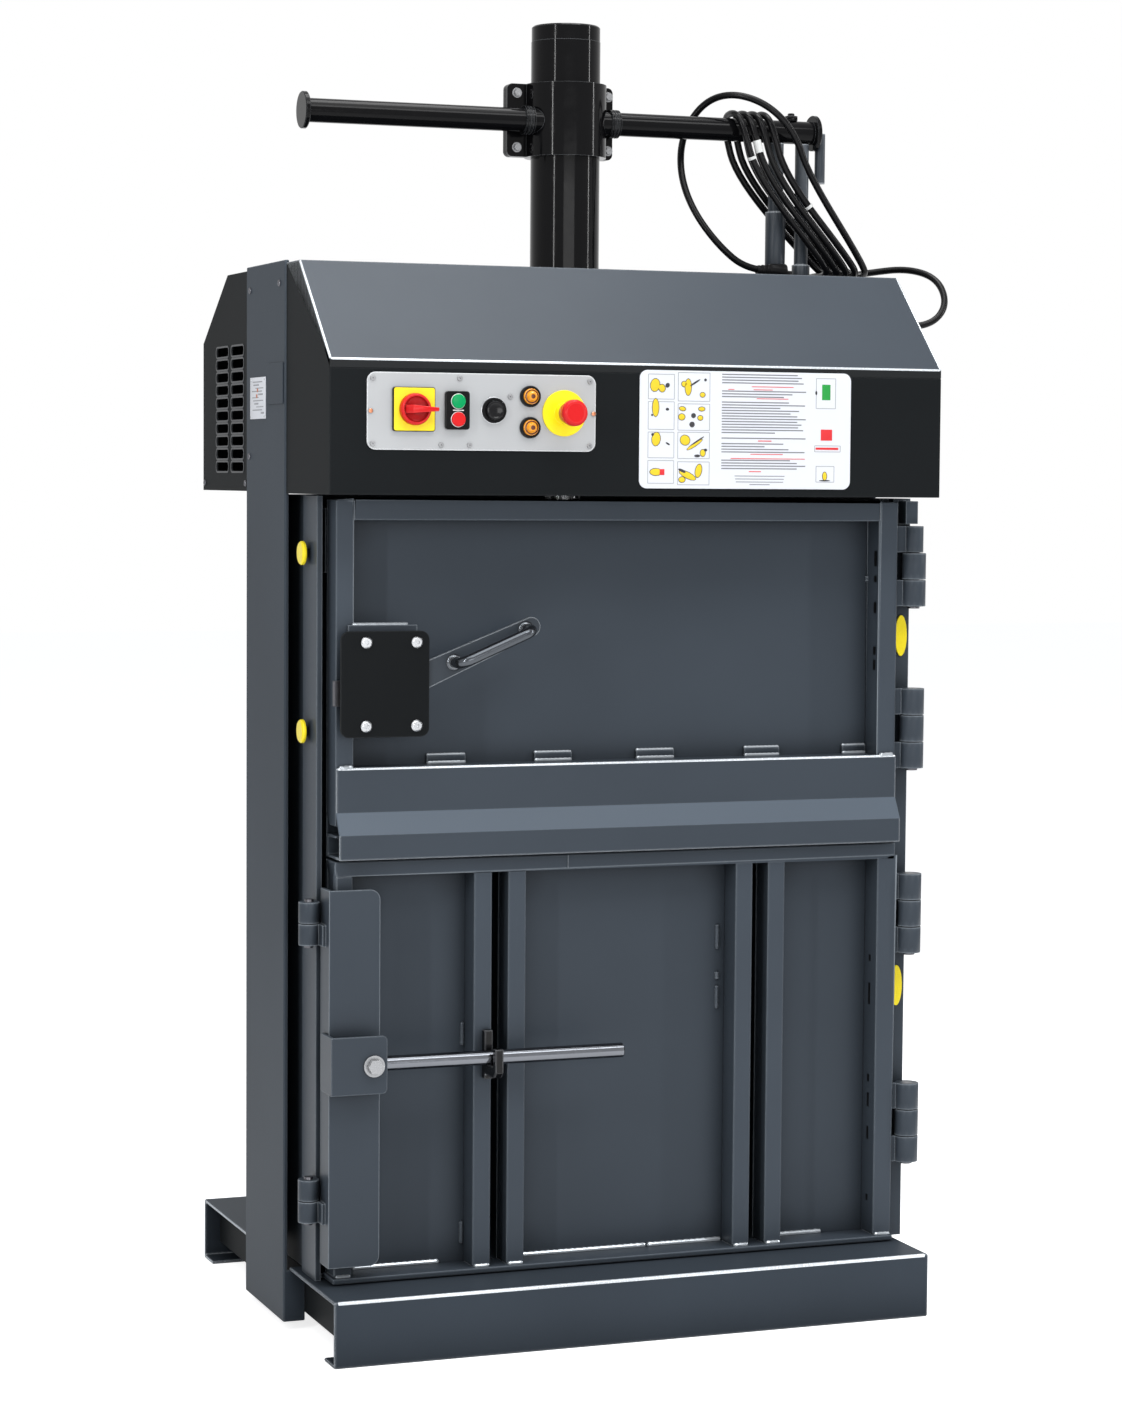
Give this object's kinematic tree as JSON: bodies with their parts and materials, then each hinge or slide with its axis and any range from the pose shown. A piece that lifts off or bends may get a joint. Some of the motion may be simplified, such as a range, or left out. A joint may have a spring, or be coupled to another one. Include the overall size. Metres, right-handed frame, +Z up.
{
  "type": "recycling baler",
  "caption": "Upright press for baling recyclables: swinging filling door with a lever lock, latched lower door with strap gaps, hydraulic cylinder above, controls on the hood.",
  "frame": {"origin": "on the floor, under the middle of the machine and the press cylinder's axis", "axes": "+X to the operator's right, +Y to the back, +Z up"},
  "size_m": [1.0296, 0.711, 1.806],
  "materials": {
    "body_paint": "satin powder coat",
    "black_paint": "satin powder coat",
    "gloss_black": "gloss",
    "dark_steel": "brushed",
    "bright_steel": "bright",
    "panel_plate": "satin",
    "sign_plate": "printed",
    "yellow_plastic": "gloss",
    "red_plastic": "gloss",
    "green_plastic": "gloss",
    "black_plastic": "matte",
    "amber_lens": "gloss",
    "tank_plastic": "matte",
    "motor_cast": "cast",
    "cable_rubber": "smooth"
  },
  "bodies": {
    "frame": {"base_beams": "body_paint", "side_sills": "body_paint", "side_columns": "body_paint", "side_walls": "body_paint", "back_wall": "body_paint", "chamber_floor": "body_paint", "front_posts": "body_paint", "head_crossbeam": "body_paint", "hood_lid": "body_paint", "hood_front_panel": "black_paint", "hood_ends": "black_paint", "power_box_shell": "black_paint", "power_box_ends": "black_paint", "oil_tank": "tank_plastic", "pump_motor": "motor_cast", "hydraulic_pump": "motor_cast", "pressure_pipe": "dark_steel", "cylinder_barrel": "gloss_black", "cylinder_cap": "gloss_black", "bar_clamp": "gloss_black", "bright_bolts": "bright_steel", "reel_bars": "gloss_black", "bar_stands": "black_paint", "lower_door_frame": "body_paint", "lower_door_skins": "body_paint", "lower_door_hinge_leaves": "body_paint", "frame_knuckles": "body_paint", "hinge_pins": "dark_steel", "latch_plate": "body_paint", "latch_bracket": "body_paint", "rod_hook": "body_paint", "control_plate": "panel_plate", "yellow_bases": "yellow_plastic", "button_block": "black_plastic", "panel_lamps": "amber_lens", "panel_screws": "bright_steel", "notice_plates": "sign_plate", "marker_caps": "yellow_plastic", "cable_glands": "black_plastic", "cable_free_start": "cable_rubber", "cable_hank": "cable_rubber", "cable_free_end": "cable_rubber"},
    "upper_door": {"upper_door_frame": "body_paint", "upper_door_skin": "body_paint", "upper_door_ledge": "body_paint", "upper_door_hinge_leaves": "body_paint", "lock_base": "body_paint", "lock_cover": "black_paint", "lock_screws": "bright_steel"},
    "lever": {"lock_lever": "body_paint", "lever_handle": "black_paint"},
    "bolt": {"lock_bolt": "dark_steel"},
    "rod": {"lift_rod": "bright_steel"},
    "ram": {"piston_rod": "bright_steel", "press_platen": "body_paint"},
    "main_switch": {"switch_knob": "red_plastic"},
    "green_push": {"green_button": "green_plastic"},
    "red_push": {"red_button": "red_plastic"},
    "black_push": {"black_button": "black_plastic"},
    "stop_push": {"stop_button": "red_plastic"}
  },
  "joints": [
    {"name": "upper_door_swing", "type": "hinge", "parent": "frame", "child": "upper_door", "pos_m": [0.4455, -0.226, 0.9355], "axis": [0, 0, 1], "range_deg": [0, 165]},
    {"name": "lock_lever_turn", "type": "hinge", "parent": "upper_door", "child": "lever", "pos_m": [-0.343, -0.25, 0.884], "axis": [0, 1, 0], "range_deg": [0, 45]},
    {"name": "lock_bolt_slide", "type": "slide", "parent": "upper_door", "child": "bolt", "axis": [1, 0, 0], "range_m": [0, 0.0154]},
    {"name": "lift_rod_turn", "type": "hinge", "parent": "frame", "child": "rod", "pos_m": [-0.366, -0.2615, 0.391], "axis": [0, -1, 0], "range_deg": [0, 85]},
    {"name": "press_stroke", "type": "slide", "parent": "frame", "child": "ram", "axis": [0, 0, -1], "range_m": [0, 0.53]},
    {"name": "main_switch_turn", "type": "hinge", "parent": "frame", "child": "main_switch", "pos_m": [-0.3275, -0.321, 1.2585], "axis": [0, 1, 0], "range_deg": [0, 90]},
    {"name": "green_button_push", "type": "slide", "parent": "frame", "child": "green_push", "axis": [0, 1, 0], "range_m": [0, 0.003], "stiffness_N_per_m": 300, "springref_m": -0.002},
    {"name": "red_button_push", "type": "slide", "parent": "frame", "child": "red_push", "axis": [0, 1, 0], "range_m": [0, 0.003], "stiffness_N_per_m": 300, "springref_m": -0.002},
    {"name": "black_button_push", "type": "slide", "parent": "frame", "child": "black_push", "axis": [0, 1, 0], "range_m": [0, 0.003], "stiffness_N_per_m": 300, "springref_m": -0.002},
    {"name": "stop_button_push", "type": "slide", "parent": "frame", "child": "stop_push", "axis": [0, 1, 0], "range_m": [0, 0.004], "stiffness_N_per_m": 500, "springref_m": -0.002}
  ],
  "couplings": [
    {"joint": "lock_bolt_slide", "follows": "lock_lever_turn", "m_per_rad": 0.01949}
  ]
}
